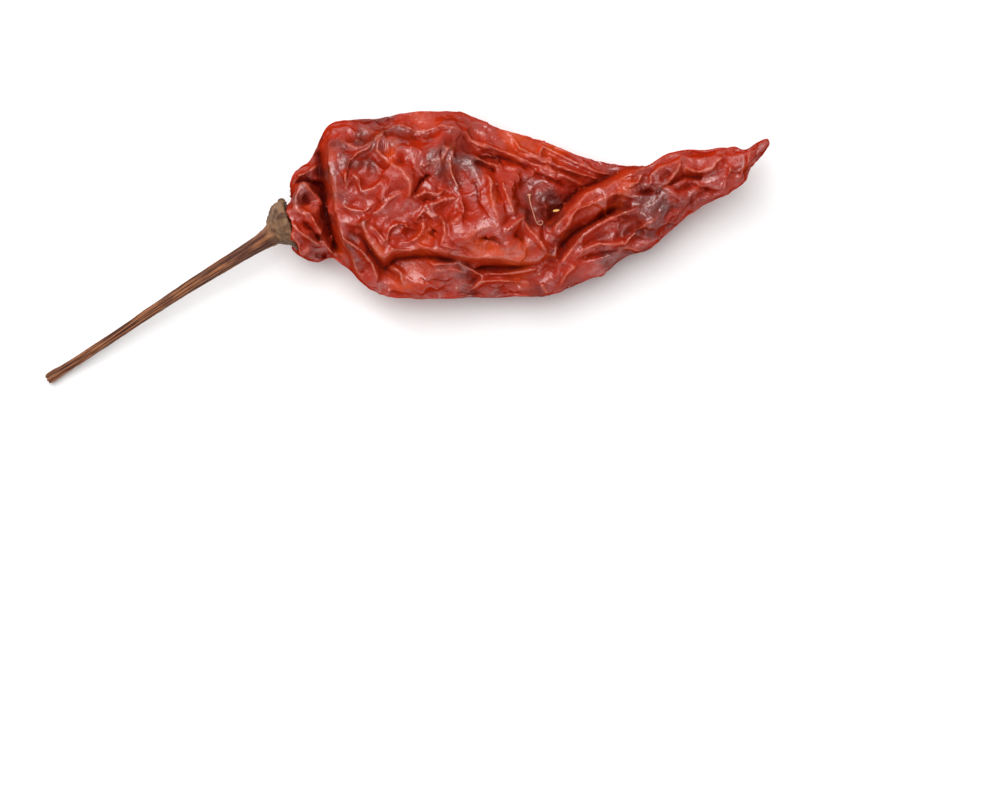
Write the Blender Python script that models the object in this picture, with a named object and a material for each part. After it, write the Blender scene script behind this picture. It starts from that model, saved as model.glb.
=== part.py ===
"""Dried chilli pepper, lying on its side: a shrivelled pod, and the stem whose calyx caps its neck.

Metres, +Z up. +X runs along the pod, from its neck to its tip, and the stem trails back from the
neck down to the surface. The origin is the middle of the footprint, on that surface.
"""

from collections import namedtuple
from math import cos, pi, radians, sin, sqrt

import bmesh
import bpy
import numpy as np

MM = 0.001

# The pod's overall sizes. Its outline, below, is in shares of these three.
POD_LENGTH = 64.3 * MM
POD_WIDTH = 25.5 * MM
POD_HEIGHT = 14.5 * MM

# The neck, where the calyx sits on the pod. The pod's outline starts at its centre.
NECK_RADIUS = 3.5 * MM
NECK_HEIGHT = 6.8 * MM
NECK_TILT = radians(7)
NECK_GAP = 0.3 * MM

# The body's section is a flattened pouch: flat on top and underneath, with a folded edge along
# each side. The higher the flatness, the nearer the edges the flat parts reach.
POUCH_FLATNESS = 3.0

# The calyx, a shallow five-lobed cap that the stem flares into.
CALYX_LIP = 0.15 * MM
CALYX_EDGE = 0.7 * MM
CALYX_DEPTH = 4.2 * MM
CALYX_LOBES = 5
CALYX_LOBE_DEPTH = 0.06

# The stem, straight and stiff, with a slightly thicker cut end that touches the surface.
STEM_LENGTH = 39.0 * MM
STEM_HEADING = radians(180 + 32.4)
STEM_ROOT_RADIUS = 1.1 * MM
STEM_WAIST_RADIUS = 0.66 * MM
STEM_END_RADIUS = 0.8 * MM
STEM_END_LENGTH = 1.8 * MM

# How finely the surfaces are drawn.
POD_RINGS_PER_RIB = 3
POD_SIDES = 44
STEM_SIDES = 20

# A rib is one cross-section of the pod. Its two edge points are (along, across) shares of the
# length and width, seen from above and measured from the neck. Its lowest and highest points are
# shares of the height. Below zero it would sink into the surface, and is pressed flat instead.
Rib = namedtuple("Rib", "upper lower bottom top")
RIBS = [
    Rib((0.000, 0.211), (0.015, -0.168), 0.19, 0.71),
    Rib((0.013, 0.284), (0.033, -0.195), 0.12, 0.72),
    Rib((0.037, 0.337), (0.058, -0.200), 0.07, 0.71),
    Rib((0.060, 0.416), (0.081, -0.184), 0.03, 0.75),
    Rib((0.079, 0.511), (0.100, -0.211), 0.00, 0.84),
    Rib((0.102, 0.547), (0.123, -0.247), -0.03, 0.94),
    Rib((0.144, 0.563), (0.160, -0.337), -0.05, 0.99),
    Rib((0.192, 0.568), (0.200, -0.389), -0.06, 1.00),
    Rib((0.242, 0.589), (0.252, -0.400), -0.06, 1.00),
    Rib((0.292, 0.600), (0.308, -0.400), -0.06, 0.99),
    Rib((0.367, 0.579), (0.383, -0.395), -0.06, 0.95),
    Rib((0.442, 0.500), (0.463, -0.389), -0.06, 0.90),
    Rib((0.517, 0.453), (0.537, -0.379), -0.05, 0.83),
    Rib((0.592, 0.374), (0.598, -0.316), -0.03, 0.79),
    Rib((0.648, 0.332), (0.652, -0.258), 0.00, 0.77),
    Rib((0.700, 0.311), (0.704, -0.168), 0.04, 0.77),
    Rib((0.742, 0.305), (0.748, -0.137), 0.09, 0.78),
    Rib((0.773, 0.353), (0.798, -0.026), 0.15, 0.78),
    Rib((0.815, 0.389), (0.848, 0.074), 0.22, 0.76),
    Rib((0.867, 0.400), (0.902, 0.147), 0.29, 0.73),
    Rib((0.915, 0.405), (0.942, 0.211), 0.34, 0.70),
    Rib((0.950, 0.389), (0.963, 0.289), 0.40, 0.67),
    Rib((0.975, 0.416), (0.981, 0.337), 0.45, 0.65),
    Rib((0.992, 0.426), (0.996, 0.395), 0.51, 0.61),
]

# A fold raises or sinks the upper side along a line of (along, across) points. Its reach is how
# far it fades out to the left and to the right of that line.
Fold = namedtuple("Fold", "line lift reach_left reach_right")
FOLDS = [
    # The crease where the shoulder hangs over the neck.
    Fold([(0.069, 0.45), (0.079, 0.31), (0.083, 0.13), (0.094, -0.04), (0.108, -0.13)],
         -2.0 * MM, 1.8 * MM, 2.6 * MM),
    # The tip half is folded over the body: its edge, the hollow behind it, the gully before it.
    Fold([(0.537, -0.14), (0.569, 0.00), (0.627, 0.12), (0.690, 0.21), (0.752, 0.30), (0.835, 0.37)],
         1.2 * MM, 2.0 * MM, 3.2 * MM),
    Fold([(0.502, -0.02), (0.554, 0.13), (0.627, 0.25), (0.706, 0.31)],
         -1.4 * MM, 4.5 * MM, 2.4 * MM),
    Fold([(0.533, -0.22), (0.594, -0.09), (0.658, 0.03), (0.731, 0.10)],
         -1.2 * MM, 2.0 * MM, 2.2 * MM),
    # The long crease above the lower edge.
    Fold([(0.131, -0.08), (0.200, -0.22), (0.304, -0.17), (0.398, -0.21), (0.525, -0.22)],
         -1.0 * MM, 2.0 * MM, 2.4 * MM),
]


def catmull_rom(rows, steps):
    """A smooth curve through the rows, with this many steps from each row to the next."""
    rows = np.asarray(rows, float)
    padded = np.vstack([2 * rows[0] - rows[1], rows, 2 * rows[-1] - rows[-2]])
    curve = []
    for before, start, end, after in zip(padded, padded[1:], padded[2:], padded[3:]):
        for t in np.arange(steps) / steps:
            curve.append(0.5 * (
                2 * start
                + (end - before) * t
                + (2 * before - 5 * start + 4 * end - after) * t**2
                + (3 * start - before - 3 * end + after) * t**3
            ))
    curve.append(rows[-1])
    return np.array(curve)


def smooth_step(x):
    x = np.clip(x, 0, 1)
    return x * x * (3 - 2 * x)


def fold_lift(fold, x, y):
    """How far one fold lifts the points at (x, y). It dies away at both ends of its line."""
    line = np.array(fold.line) * (POD_LENGTH, POD_WIDTH)
    lengths = np.linalg.norm(np.diff(line, axis=0), axis=1)
    best = np.full(x.shape, np.inf)
    left = np.zeros(x.shape, bool)
    share = np.zeros(x.shape)
    travelled = 0.0
    for (ax, ay), (bx, by), length in zip(line, line[1:], lengths):
        dx, dy = (bx - ax) / length, (by - ay) / length
        along = np.clip((x - ax) * dx + (y - ay) * dy, 0, length)
        off_x, off_y = x - ax - along * dx, y - ay - along * dy
        distance = np.hypot(off_x, off_y)
        nearer = distance < best
        best = np.where(nearer, distance, best)
        left = np.where(nearer, dx * off_y - dy * off_x > 0, left)
        share = np.where(nearer, (travelled + along) / lengths.sum(), share)
        travelled += length
    reach = np.where(left, fold.reach_left, fold.reach_right)
    ends = smooth_step(share * 5) * smooth_step((1 - share) * 5)
    return fold.lift * ends * np.exp(-((best / reach) ** 2))


def pod_sections():
    """Rows of edge points, bottom, top and pouch share: the round neck first, and then the ribs."""
    centre_x, centre_y = NECK_GAP * cos(NECK_TILT), NECK_GAP * sin(NECK_TILT)
    out_x, out_y = -NECK_RADIUS * sin(NECK_TILT), NECK_RADIUS * cos(NECK_TILT)
    rows = [[
        centre_x + out_x, centre_y + out_y, centre_x - out_x, centre_y - out_y,
        NECK_HEIGHT - NECK_RADIUS, NECK_HEIGHT + NECK_RADIUS, 0,
    ]]
    for rib in RIBS:
        rows.append([
            rib.upper[0] * POD_LENGTH, rib.upper[1] * POD_WIDTH,
            rib.lower[0] * POD_LENGTH, rib.lower[1] * POD_WIDTH,
            rib.bottom * POD_HEIGHT, rib.top * POD_HEIGHT, 1,
        ])
    rows[-1][-1] = 0
    return catmull_rom(rows, POD_RINGS_PER_RIB)


def pod_rings():
    """The pod's cross-sections, each a closed ring of points."""
    angle = 2 * pi * np.arange(POD_SIDES) / POD_SIDES
    rings = []
    for upper_x, upper_y, lower_x, lower_y, bottom, top, pouch in pod_sections():
        pouch_rise = np.sign(np.sin(angle)) * (1 - np.abs(np.cos(angle)) ** POUCH_FLATNESS)
        rise = np.sin(angle) + pouch * (pouch_rise - np.sin(angle))
        across = (1 + np.cos(angle)) / 2
        x = lower_x + (upper_x - lower_x) * across
        y = lower_y + (upper_y - lower_y) * across
        z = (top + bottom) / 2 + rise * (top - bottom) / 2
        if rings:
            upper_side = smooth_step(rise / 0.6)
            z = z + upper_side * sum(fold_lift(fold, x, y) for fold in FOLDS)
        rings.append(np.column_stack([x, y, np.maximum(z, 0)]))
    return rings


def stem_stations():
    """(distance from the neck, radius) from the calyx's face to the cut end."""
    rim = NECK_RADIUS + CALYX_LIP
    bell = []
    for share in (0, 0.12, 0.28, 0.46, 0.64, 0.82, 1):
        radius = STEM_ROOT_RADIUS + (rim - STEM_ROOT_RADIUS) * (1 - share) ** 1.3
        bell.append((CALYX_EDGE + (CALYX_DEPTH - CALYX_EDGE) * share, radius))
    shaft_start, shaft_end = CALYX_DEPTH, STEM_LENGTH - STEM_END_LENGTH
    shaft = []
    for share in (0.06, 0.14, 0.25, 0.4, 0.55, 0.7, 0.85, 1.0):
        radius = STEM_WAIST_RADIUS + (STEM_ROOT_RADIUS - STEM_WAIST_RADIUS) * (1 - share) ** 3
        shaft.append((shaft_start + (shaft_end - shaft_start) * share, radius))
    knob = [(STEM_LENGTH - STEM_END_LENGTH * 0.45, STEM_END_RADIUS), (STEM_LENGTH, STEM_END_RADIUS)]
    return [(0.0, rim * 0.98)] + bell + shaft + knob


def stem_rings():
    """The stem's rings: square to the neck at the calyx, and square to the stem further out."""
    drop = NECK_HEIGHT - STEM_END_RADIUS
    reach = sqrt(STEM_LENGTH**2 - drop**2)
    heading = np.array([cos(STEM_HEADING) * reach, sin(STEM_HEADING) * reach, -drop]) / STEM_LENGTH
    neck_heading = np.array([-cos(NECK_TILT), -sin(NECK_TILT), 0.0])
    angle = 2 * pi * np.arange(STEM_SIDES) / STEM_SIDES
    rings = []
    for distance, radius in stem_stations():
        bend = smooth_step((distance - CALYX_EDGE) / CALYX_DEPTH)
        axis = neck_heading * (1 - bend) + heading * bend
        axis /= np.linalg.norm(axis)
        side = np.cross(axis, (0, 0, 1))
        side /= np.linalg.norm(side)
        up = np.cross(side, axis)
        lobes = 1 + CALYX_LOBE_DEPTH * (1 - bend) * np.cos(CALYX_LOBES * angle)
        centre = np.array([0, 0, NECK_HEIGHT]) + heading * distance
        ring = centre + radius * lobes[:, None] * (
            np.cos(angle)[:, None] * side + np.sin(angle)[:, None] * up
        )
        rings.append(ring)
    return rings


def loft(name, rings, material):
    """One closed object skinned over the rings, with a flat cap at each end."""
    mesh = bmesh.new()
    rows = [[mesh.verts.new(point) for point in ring] for ring in rings]
    for row, following in zip(rows, rows[1:]):
        for i in range(len(row)):
            j = (i + 1) % len(row)
            mesh.faces.new((row[i], row[j], following[j], following[i]))
    mesh.faces.new(rows[0])
    mesh.faces.new(rows[-1])
    bmesh.ops.recalc_face_normals(mesh, faces=mesh.faces)
    data = bpy.data.meshes.new(name)
    mesh.to_mesh(data)
    mesh.free()
    data.materials.append(material)
    data.shade_smooth()
    data.set_sharp_from_angle(angle=radians(50))
    made = bpy.data.objects.new(name, data)
    bpy.context.scene.collection.objects.link(made)
    return made


def skin_material(name, colour, roughness):
    material = bpy.data.materials.new(name)
    material.use_nodes = True
    shader = material.node_tree.nodes["Principled BSDF"]
    shader.inputs["Base Color"].default_value = (*colour, 1)
    shader.inputs["Roughness"].default_value = roughness
    shader.inputs["Metallic"].default_value = 0
    return material


def set_down(pieces):
    """Parents the pieces to an empty, which puts the middle of their footprint at the origin."""
    corners = np.array([vertex.co for piece in pieces for vertex in piece.data.vertices])
    low, high = corners.min(axis=0), corners.max(axis=0)
    pepper = bpy.data.objects.new("chilli_pepper", None)
    pepper.location = (-(low[0] + high[0]) / 2, -(low[1] + high[1]) / 2, -low[2])
    bpy.context.scene.collection.objects.link(pepper)
    for piece in pieces:
        piece.parent = pepper


def main():
    for old in list(bpy.data.objects):
        bpy.data.objects.remove(old)
    dried_skin = skin_material("dried_red_skin", (0.36, 0.025, 0.012), 0.38)
    dry_stem = skin_material("dry_brown_stem", (0.16, 0.075, 0.040), 0.75)
    pod = loft("pod", pod_rings(), dried_skin)
    stem = loft("stem_and_calyx", stem_rings(), dry_stem)
    set_down([pod, stem])


main()
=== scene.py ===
# %% [markdown]
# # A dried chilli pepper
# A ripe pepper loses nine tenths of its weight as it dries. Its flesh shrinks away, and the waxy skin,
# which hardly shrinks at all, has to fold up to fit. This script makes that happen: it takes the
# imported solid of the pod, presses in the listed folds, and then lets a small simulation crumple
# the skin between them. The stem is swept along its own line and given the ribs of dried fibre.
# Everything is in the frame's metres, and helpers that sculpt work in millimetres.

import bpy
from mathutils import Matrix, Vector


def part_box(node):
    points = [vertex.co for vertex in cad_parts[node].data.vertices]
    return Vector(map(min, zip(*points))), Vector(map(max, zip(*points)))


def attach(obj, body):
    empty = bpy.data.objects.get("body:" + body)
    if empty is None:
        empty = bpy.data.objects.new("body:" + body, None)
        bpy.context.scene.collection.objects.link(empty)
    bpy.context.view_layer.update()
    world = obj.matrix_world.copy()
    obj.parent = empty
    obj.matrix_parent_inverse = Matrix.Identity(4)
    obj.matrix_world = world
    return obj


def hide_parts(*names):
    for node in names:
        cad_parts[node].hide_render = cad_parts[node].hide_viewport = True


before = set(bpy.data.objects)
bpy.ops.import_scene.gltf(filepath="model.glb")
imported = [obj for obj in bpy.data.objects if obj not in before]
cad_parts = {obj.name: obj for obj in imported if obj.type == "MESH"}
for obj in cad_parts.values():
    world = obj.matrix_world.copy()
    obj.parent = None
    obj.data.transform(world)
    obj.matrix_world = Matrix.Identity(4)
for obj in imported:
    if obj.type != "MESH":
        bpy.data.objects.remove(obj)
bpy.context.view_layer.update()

# %% [markdown]
# ## Points as arrays
# Sculpting by code is quickest when all the points are one numpy array. `read` fetches one value of
# every item in a mesh, and the helpers after it move points, in millimetres, and attributes out to
# arrays and back.

# %% Points in and out of a mesh
from collections import namedtuple

import bmesh
import bpy
import numpy as np
from mathutils import Vector, kdtree, noise
from mathutils.bvhtree import BVHTree

MM = 0.001


def read(items, name, width=1, kind=np.float32):
    flat = np.empty(len(items) * width, kind)
    items.foreach_get(name, flat)
    return flat.reshape(-1, width) if width > 1 else flat


def get_points(mesh):
    return read(mesh.vertices, "co", 3).astype(float) / MM


def set_points(mesh, points):
    mesh.vertices.foreach_set("co", (points * MM).astype(np.float32).ravel())
    mesh.update()


def get_normals(mesh):
    return read(mesh.vertex_normals, "vector", 3).astype(float)


def write_attribute(mesh, name, values):
    made = mesh.attributes.new(name, "FLOAT", "POINT")
    made.data.foreach_set("value", values.astype(np.float32))


def read_attribute(mesh, name):
    return read(mesh.attributes[name].data, "value")


def applied(obj):
    """Bakes an object's modifiers into its mesh, and returns that mesh."""
    graph = bpy.context.evaluated_depsgraph_get()
    mesh = bpy.data.meshes.new_from_object(obj.evaluated_get(graph))
    obj.modifiers.clear()
    obj.data = mesh
    return mesh


def place(name, data):
    made = bpy.data.objects.new(name, data)
    bpy.context.scene.collection.objects.link(made)
    return made

# %% [markdown]
# ## An even skin to start from
# The solid's triangles are long and uneven, and a simulated skin needs small squares of one size.
# The voxel Remesh modifier gives those, but it lines them up with X, Y and Z, and a skin folds most
# easily along its own lines of squares. So the pod is first turned until its flat side faces a
# corner of the voxel grid, where the squares meet in three directions instead of two.

# %% Remesh the pod
SKIN_CELL = 0.4
TO_VOXELS = np.array([[1, -1, 0], [1, 1, -2], [1, 1, 1]], float)
TO_VOXELS = TO_VOXELS / np.linalg.norm(TO_VOXELS, axis=1)[:, None]

pod_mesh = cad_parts["pod"].data.copy()
pod = place("pod_skin", pod_mesh)
editing = bmesh.new()
editing.from_mesh(pod_mesh)
bmesh.ops.remove_doubles(editing, verts=editing.verts, dist=1e-6)
editing.to_mesh(pod_mesh)
editing.free()
set_points(pod_mesh, get_points(pod_mesh) @ TO_VOXELS)
even = pod.modifiers.new("even_cells", "REMESH")
even.mode = "VOXEL"
even.voxel_size = SKIN_CELL * MM
pod_mesh = applied(pod)
points = get_points(pod_mesh) @ TO_VOXELS.T
print("even skin:", len(points), "points")

# %% [markdown]
# ## How a skin behaves
# A skin has springs along its edges and across its squares, which hold its size, and it resists
# bending. `laplace` compares each point with the mean of its neighbours: it is the bend at that
# point, and it smooths when it is added back a little at a time.

# %% The skin's springs
class Skin:
    def __init__(self, mesh):
        starts = read(mesh.polygons, "loop_start", kind=np.int32)
        sides = read(mesh.polygons, "loop_total", kind=np.int32)
        corners = read(mesh.loops, "vertex_index", kind=np.int32)
        squares = corners[starts[sides == 4][:, None] + np.arange(4)]
        self.count = len(mesh.vertices)
        self.edges = read(mesh.edges, "vertices", 2, np.int32)
        self.springs = np.vstack([self.edges, squares[:, [0, 2]], squares[:, [1, 3]]])
        self.neighbours = np.bincount(self.edges.ravel(), minlength=self.count)[:, None]
        self.pulls = np.bincount(self.springs.ravel(), minlength=self.count)[:, None]

    def laplace(self, values):
        a, b = self.edges.T
        total = [
            np.bincount(a, column[b], self.count) + np.bincount(b, column[a], self.count)
            for column in values.T
        ]
        return np.column_stack(total) / self.neighbours - values

    def smoothed(self, values, rounds):
        for _ in range(rounds):
            values = values + 0.5 * self.laplace(values)
        return values

    def spring_moves(self, points, rest):
        """The mean move that the springs at each point ask for, to be as long as they should be."""
        a, b = self.springs.T
        gap = points[b] - points[a]
        length = np.linalg.norm(gap, axis=1)
        move = gap * ((length - rest) / length / 2)[:, None]
        total = [np.bincount(a, m, self.count) - np.bincount(b, m, self.count) for m in move.T]
        return np.column_stack(total) / self.pulls


skin = Skin(pod_mesh)
print("springs:", len(skin.springs))

# %% [markdown]
# ## The tip and the neck
# Voxels cut the last half millimetre off a point. The tip is drawn out again to where the solid
# ends. At the other end the skin puckers over the calyx in five lobes, and the flat end of the neck
# is pushed in behind them to make the socket that the calyx sits in.

# %% Draw out the tip and pucker the neck
POD_LOW, POD_HIGH = (np.array(corner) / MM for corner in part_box("pod"))
TIP_REACH = 4.0
NECK_CENTRE = (3.0, 6.8)
NECK_LOBES = 5
PUCKER_START, PUCKER_DEPTH = -13.6, 0.7
SOCKET_START, SOCKET_DEPTH, SOCKET_RADIUS = -14.9, 1.2, 3.1


def smooth_step(x, low=0.0, high=1.0):
    x = np.clip((x - low) / (high - low), 0, 1)
    return x * x * (3 - 2 * x)


points = skin.smoothed(points, 2)
tip = points[np.argmax(points[:, 0])]
near_tip = smooth_step(points[:, 0], tip[0] - TIP_REACH, tip[0])[:, None]
points = points + near_tip * [POD_HIGH[0] - tip[0] - 0.1, 0.6, 0.2]
from_axis = points[:, 1:] - NECK_CENTRE
radius = np.hypot(*from_axis.T)
lobes = 0.6 + 0.4 * np.cos(NECK_LOBES * np.arctan2(from_axis[:, 1], from_axis[:, 0]) + 1.0)
pucker = smooth_step(PUCKER_START - points[:, 0], 0, 1.6) * smooth_step(radius, 2.9, 3.3)
points[:, 0] -= PUCKER_DEPTH * lobes * pucker
socket = smooth_step(SOCKET_START - points[:, 0], 0, 0.3) * smooth_step(SOCKET_RADIUS - radius, 0, 0.6)
points[:, 0] += SOCKET_DEPTH * socket
set_points(pod_mesh, points)
print("tip:", tip.round(2), "drawn to", points[:, 0].max().round(2), "neck from", points[:, 0].min().round(2))

# %% [markdown]
# ## Soft noise
# What varies by chance over a skin varies slowly, from one patch to the next. Smooth noise does
# that, and stretching it along the pod gives streaks.

# %% Noise on a skin
def ripples(points, size, stretch=1.0, offset=0.0):
    """Smooth noise of about -1 to 1, with lumps of a size in millimetres, longer along X by stretch."""
    scaled = points / (size * stretch, size, size) + offset
    return np.array([noise.noise(Vector(point)) for point in scaled])

# %% [markdown]
# ## An empty pouch has sharp edges
# A dried pod lies like a flattened bag, with a crease all round where the upper skin meets the
# lower. The solid is rounder. Each point's height, as a share of the local half height, is eased
# towards the middle near the rim, which keeps the outline and the total height.

# %% Sharpen the edges of the pouch
EDGE_ROUNDNESS = 0.45
EDGE_WANDER = 0.5
SECTION_REACH = 2.2

stations = np.linspace(POD_LOW[0], POD_HIGH[0], 33)
solid_points = get_points(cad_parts["pod"].data)
tops, bottoms = [], []
for station in stations:
    heights = solid_points[np.abs(solid_points[:, 0] - station) < SECTION_REACH, 2]
    tops.append(heights.max())
    bottoms.append(heights.min())
top = np.interp(points[:, 0], stations, tops)
bottom = np.interp(points[:, 0], stations, bottoms)
half_height = (top - bottom) / 2
middle_height = (top + bottom) / 2 + EDGE_WANDER * half_height * ripples(points * (1, 1, 0), 8.0)
share = np.clip((points[:, 2] - middle_height) / half_height, -1, 1)
edge = 1 - smooth_step(np.abs(share), 0.15, 0.6)
sharper = share * (EDGE_ROUNDNESS + (1 - EDGE_ROUNDNESS) * np.abs(share))
body = smooth_step(points[:, 0], -12, -7) * smooth_step(46 - points[:, 0], 0, 6)
points[:, 2] += body * (sharper - share) * half_height
edge = edge * body
set_points(pod_mesh, points)
print("points near an edge:", int((edge > 0.5).sum()))

# %% [markdown]
# ## The folds that make it this pepper
# Most wrinkles on a dried pod are chance, but its main folds are what the eye knows it by. Each is
# given as a line of (x, y) points on the upper side, seen from above, with a height, which is below
# zero for a crease, and how far it fades out to the left and to the right of the line.
# A short fade on one side makes a fold that hangs over.

# %% A fold, and how it lifts the skin
Fold = namedtuple("Fold", "height left right line")


def folds(*rows):
    return [Fold(*row) for row in rows]


def fold_lift(fold, plan, narrow=1.0):
    """The lift of one fold at each (x, y) point of plan. It dies away towards both ends of its line."""
    line = np.array(fold.line, float)
    lengths = np.linalg.norm(np.diff(line, axis=0), axis=1)
    nearest = np.full(len(plan), 1e9)
    left = np.zeros(len(plan), bool)
    share = np.zeros(len(plan))
    travelled = 0.0
    for start, end, length in zip(line, line[1:], lengths):
        forward = (end - start) / length
        off = plan - start
        along = np.clip(off @ forward, 0, length)
        off = off - along[:, None] * forward
        distance = np.hypot(*off.T)
        closer = distance < nearest
        nearest = np.where(closer, distance, nearest)
        left = np.where(closer, forward[0] * off[:, 1] - forward[1] * off[:, 0] > 0, left)
        share = np.where(closer, (travelled + along) / lengths.sum(), share)
        travelled += length
    reach = np.where(left, fold.left, fold.right) * narrow
    ends = 0.25 + 0.75 * smooth_step(share, 0, 0.15) * smooth_step(1 - share, 0, 0.15)
    return fold.height * ends * np.exp(-((nearest / reach) ** 1.4))

# %% [markdown]
# ## The shoulder and the neck
# Near the stem the skin stayed thick and round while the body collapsed. The shoulder is therefore
# one long crisp ridge, and behind it a deep crevice parts it from the puckered neck. The neck is
# made of short folds that fan out from the calyx, with dark hollows between them.

# %% The shoulder and the neck
SHOULDER = folds(
    (1.8, 2.4, 0.35, [
        (-10.7, 14.4), (-10.5, 12.3), (-10.2, 10.1), (-9.8, 7.9), (-9.4, 5.5), (-9.0, 2.9), (-8.4, 0.7),
        (-7.3, -1.5), (-6.6, -3.3), (-5.1, -5.4),
    ]),
)
CREVICE = folds(
    (-3.6, 0.5, 1.1, [
        (-11.5, 9.2), (-11.2, 7.6), (-10.9, 5.8), (-10.6, 4.0), (-10.2, 2.0), (-9.6, 0.2), (-9.2, -1.4),
    ]),
    (-1.4, 0.5, 0.8, [(-11.9, 13.0), (-11.6, 11.0), (-11.5, 9.0)]),
)
NECK = folds(
    (0.9, 0.5, 0.8, [(-15.0, 9.2), (-13.4, 9.9), (-11.8, 10.9)]),
    (-1.3, 0.5, 0.4, [(-15.3, 8.6), (-13.0, 8.6), (-11.3, 8.1)]),
    (1.0, 0.45, 0.45, [(-14.2, 8.4), (-12.8, 7.3), (-11.6, 6.2), (-11.1, 5.3)]),
    (0.8, 0.4, 0.5, [(-14.1, 8.2), (-14.8, 6.2), (-14.7, 4.9), (-14.0, 4.1)]),
    (-0.6, 0.7, 0.7, [(-14.0, 6.8), (-13.2, 5.3)]),
    (0.7, 0.4, 0.4, [(-14.0, 4.1), (-12.4, 4.5), (-11.9, 5.1)]),
    (1.1, 0.4, 0.45, [(-12.9, 4.2), (-12.0, 2.6), (-11.1, 0.7), (-9.7, -1.4)]),
    (0.8, 0.4, 0.5, [(-15.6, 3.4), (-14.3, 2.0), (-12.4, 0.5), (-11.2, 0.0)]),
    (-1.0, 0.4, 0.4, [(-14.1, 3.3), (-12.6, 1.9), (-11.7, 0.4)]),
    (0.8, 0.5, 0.5, [(-15.5, 2.2), (-14.1, -1.3), (-12.6, -0.4)]),
    (-1.0, 0.6, 0.6, [(-12.4, -1.0), (-10.8, -1.4)]),
)

# %% [markdown]
# ## The panels of the body
# The broad upper side broke into flat panels. Their borders are ridges that bend at each corner,
# so every line below has a point at each bend. A long smooth curve would look like a vein instead.

# %% The panels of the body
LEFT_PANELS = folds(
    (0.9, 0.4, 0.6, [(-4.2, 13.9), (-4.9, 12.9), (-6.4, 12.4), (-7.4, 11.3), (-7.9, 9.8), (-8.0, 7.4)]),
    (0.7, 0.8, 0.5, [(-8.6, 13.9), (-6.9, 13.2), (-5.3, 13.4), (-4.0, 14.2), (-2.3, 16.0)]),
    (1.1, 0.5, 0.7, [
        (-3.5, 14.9), (-3.9, 12.4), (-2.4, 11.0), (-0.6, 9.5), (0.5, 8.1), (0.6, 6.8), (-0.2, 5.6),
    ]),
    (0.6, 0.4, 0.5, [(-7.2, 9.6), (-6.2, 8.6), (-5.9, 7.2), (-4.4, 7.4), (-2.6, 8.6)]),
    (0.8, 0.4, 0.5, [(-5.9, 2.7), (-4.3, 4.1), (-2.8, 5.2), (-2.2, 6.0), (-0.5, 6.7)]),
    (0.7, 0.4, 0.4, [(-8.6, 5.4), (-7.2, 4.6), (-5.9, 4.5), (-4.4, 5.6)]),
    (0.8, 0.35, 0.4, [(-2.4, 0.1), (-2.2, 2.2), (-0.4, 2.8), (0.8, 2.0)]),
    (0.7, 0.35, 0.4, [(-4.6, 2.4), (-3.4, 1.4), (-2.6, 0.0)]),
)
MIDDLE_PANELS = folds(
    (-1.0, 0.4, 0.5, [(0.9, 6.6), (1.9, 8.1), (3.4, 9.3)]),
    (0.9, 0.5, 0.4, [(1.7, 9.8), (3.4, 10.7), (4.9, 11.1), (5.5, 12.4), (6.6, 13.3)]),
    (0.9, 0.5, 0.5, [(6.6, 13.1), (5.9, 11.3), (6.1, 9.5), (6.6, 8.1), (7.4, 7.2)]),
    (0.8, 0.4, 0.4, [(1.2, 6.2), (2.6, 7.0), (4.2, 6.6), (5.2, 7.5)]),
    (0.8, 0.4, 0.4, [(2.9, 4.9), (4.8, 5.9), (7.0, 6.3)]),
    (-0.7, 0.5, 0.5, [(2.2, 5.6), (3.8, 6.2)]),
    (0.7, 0.35, 0.4, [(1.2, 3.4), (2.3, 4.5), (3.4, 3.8), (4.6, 4.2)]),
    (0.9, 0.4, 0.4, [(4.8, 3.8), (5.3, 1.8), (4.7, 0.2), (7.0, -0.5)]),
    (0.8, 0.4, 0.4, [(7.0, 6.1), (7.9, 4.6), (7.0, 3.3), (5.4, 2.9)]),
    (0.8, 0.4, 0.4, [(0.2, 0.1), (1.5, 0.8), (2.4, 1.9), (2.3, 3.2)]),
    (-0.6, 0.8, 0.8, [(3.2, 1.2), (3.6, 2.4)]),
)
RIGHT_PANELS = folds(
    (0.7, 0.9, 0.5, [
        (-2.7, 16.3), (1.8, 15.7), (4.5, 15.5), (5.8, 14.8), (8.0, 14.5), (9.7, 13.5), (12.8, 12.1),
    ]),
    (-1.0, 0.35, 0.4, [(9.3, 12.1), (11.2, 11.6), (12.9, 11.0)]),
    (0.6, 0.3, 0.3, [(9.1, 11.6), (10.9, 11.0), (12.6, 10.5)]),
    (-0.8, 0.3, 0.35, [(9.0, 11.1), (10.7, 10.6), (12.2, 9.9)]),
    (1.3, 0.6, 0.6, [(10.6, 9.8), (11.4, 8.2), (11.3, 6.4), (11.8, 4.6), (12.2, 3.0)]),
    (0.9, 0.4, 0.5, [(12.9, 9.0), (13.2, 7.0), (13.8, 5.2), (14.5, 3.5)]),
    (-0.8, 0.7, 0.7, [(9.2, 8.6), (9.6, 5.6)]),
    (0.7, 0.4, 0.4, [(7.0, 2.3), (9.1, 2.0), (10.6, 2.5), (12.0, 2.9)]),
    (-1.0, 0.4, 0.4, [(9.9, 0.9), (11.6, 1.2), (13.1, 0.2)]),
    (1.2, 0.4, 0.6, [(12.4, 2.7), (13.5, 2.3), (15.4, 3.6), (16.4, 2.1), (17.8, 0.5), (18.5, -0.9)]),
    (-0.8, 0.5, 0.5, [(14.3, 1.9), (15.6, 0.8)]),
)

# %% [markdown]
# ## The long edge over the lower side
# The upper skin hangs over the lower side in one long edge, from the shoulder to the middle. A
# ridge that fades slowly behind and quickly in front makes the edge, and a crease just in front of
# it makes the shadow beneath. Shorter folds run out from it over the lower side.

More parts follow.
